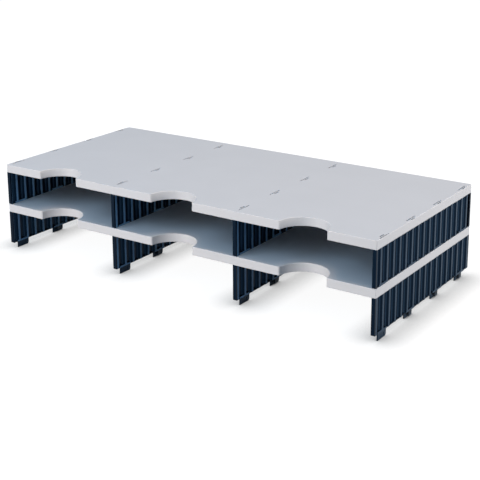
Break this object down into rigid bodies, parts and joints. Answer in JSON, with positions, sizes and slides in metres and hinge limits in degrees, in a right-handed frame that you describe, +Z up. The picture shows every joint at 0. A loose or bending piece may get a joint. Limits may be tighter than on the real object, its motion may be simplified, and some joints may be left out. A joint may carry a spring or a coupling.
{
  "type": "letter sorter unit",
  "caption": "Open stackable letter sorter: light boards with finger notches on dark corrugated walls, with plug tabs below and plug slots on top.",
  "frame": {"origin": "middle of the footprint, at the level of the lowest plug tab tips", "axes": "+X along the row of bays, to the right as seen from the open front; -Y towards the front with its finger notches; +Z up, the way a tier pulls off"},
  "size_m": [0.723, 0.331, 0.1545],
  "materials": {
    "board_plastic": "fine satin moulding, light cool grey",
    "wall_plastic": "smooth satin moulding, dark navy"
  },
  "bodies": {
    "lower_tier": {"middle_board": "board_plastic", "lower_left_wall": "wall_plastic", "lower_left_divider": "wall_plastic", "lower_right_divider": "wall_plastic", "lower_right_wall": "wall_plastic"},
    "upper_tier": {"top_board": "board_plastic", "upper_left_wall": "wall_plastic", "upper_left_divider": "wall_plastic", "upper_right_divider": "wall_plastic", "upper_right_wall": "wall_plastic"}
  },
  "joints": [
    {"name": "upper_tier_lift", "type": "slide", "parent": "lower_tier", "child": "upper_tier", "axis": [0, 0, 1], "range_m": [0, 0.015]}
  ]
}
